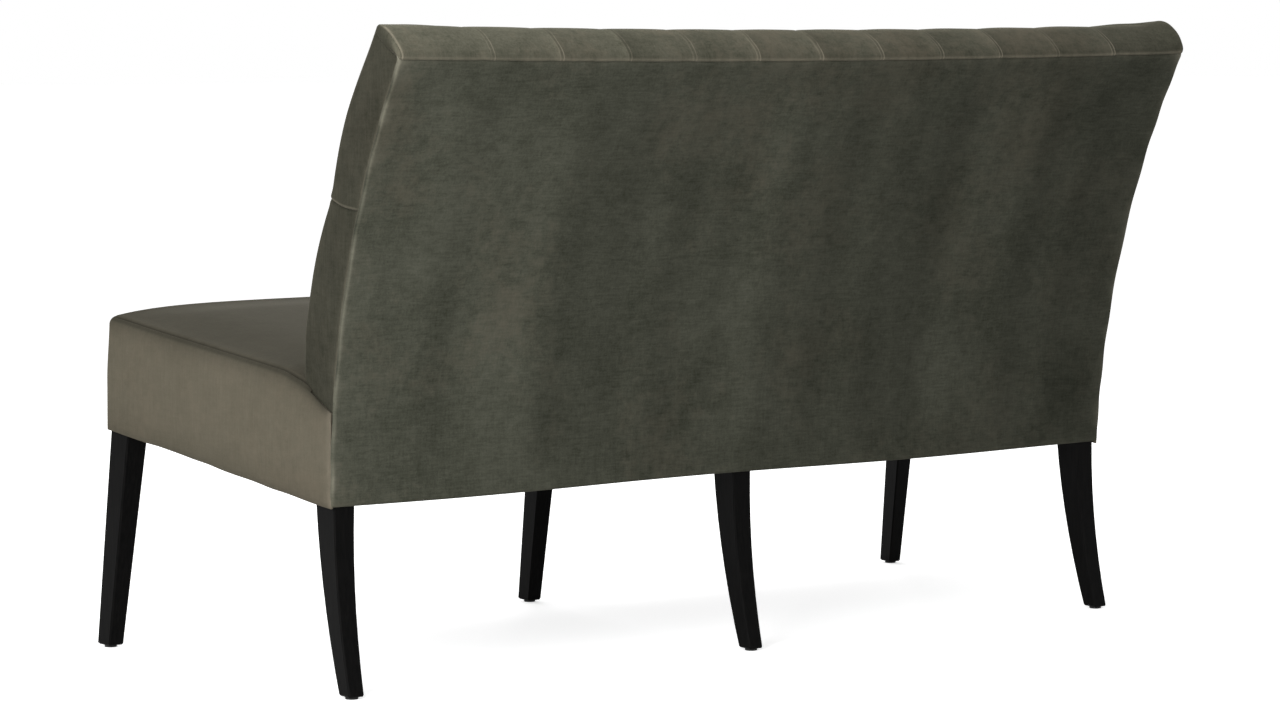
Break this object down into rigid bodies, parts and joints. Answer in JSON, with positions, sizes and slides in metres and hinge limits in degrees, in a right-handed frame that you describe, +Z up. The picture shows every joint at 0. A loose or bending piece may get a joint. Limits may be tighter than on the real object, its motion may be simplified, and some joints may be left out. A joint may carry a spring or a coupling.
{
  "type": "dining sofa",
  "caption": "Armless upholstered dining sofa with a leaning button-tufted back, a flared boxed seat and slender square black wooden legs, sabre-shaped at the rear.",
  "frame": {"origin": "on the floor, at the middle of the bounding box", "axes": "+X is the sitter's left, along the sofa; -Y is the way the sitter faces; +Z is up"},
  "size_m": [1.4994, 0.7412, 0.9055],
  "materials": {
    "velvet": "velvet pile",
    "black_stain": "black stain, satin",
    "frame_wood": "bare",
    "foam": "open-cell foam",
    "webbing": "woven",
    "cambric": "non-woven",
    "nylon": "matt"
  },
  "bodies": {
    "root": {"back_foam": "foam", "back_strap_left_1": "webbing", "back_strap_left_2": "webbing", "back_strap_left_3": "webbing", "back_strap_left_4": "webbing", "back_strap_right_1": "webbing", "back_strap_right_2": "webbing", "back_strap_right_3": "webbing", "back_strap_right_4": "webbing", "crest_rail": "frame_wood", "dust_cover": "cambric", "front_block_left": "frame_wood", "front_block_right": "frame_wood", "front_glide_left": "nylon", "front_glide_middle": "nylon", "front_glide_right": "nylon", "front_leg_left": "black_stain", "front_leg_middle": "black_stain", "front_leg_right": "black_stain", "front_rail_left": "frame_wood", "front_rail_right": "frame_wood", "inside_back_cover": "velvet", "lower_back_rail_left": "frame_wood", "lower_back_rail_right": "frame_wood", "middle_rail": "frame_wood", "outside_back_cover": "velvet", "rear_block_left": "frame_wood", "rear_block_right": "frame_wood", "rear_glide_left": "nylon", "rear_glide_middle": "nylon", "rear_glide_right": "nylon", "rear_post_left": "black_stain", "rear_post_middle": "black_stain", "rear_post_right": "black_stain", "rear_rail_left": "frame_wood", "rear_rail_right": "frame_wood", "seat_cover": "velvet", "seat_foam": "foam", "seat_strap_left_1": "webbing", "seat_strap_left_2": "webbing", "seat_strap_left_3": "webbing", "seat_strap_left_4": "webbing", "seat_strap_left_5": "webbing", "seat_strap_right_1": "webbing", "seat_strap_right_2": "webbing", "seat_strap_right_3": "webbing", "seat_strap_right_4": "webbing", "seat_strap_right_5": "webbing", "side_rail_left": "frame_wood", "side_rail_right": "frame_wood"}
  },
  "joints": []
}
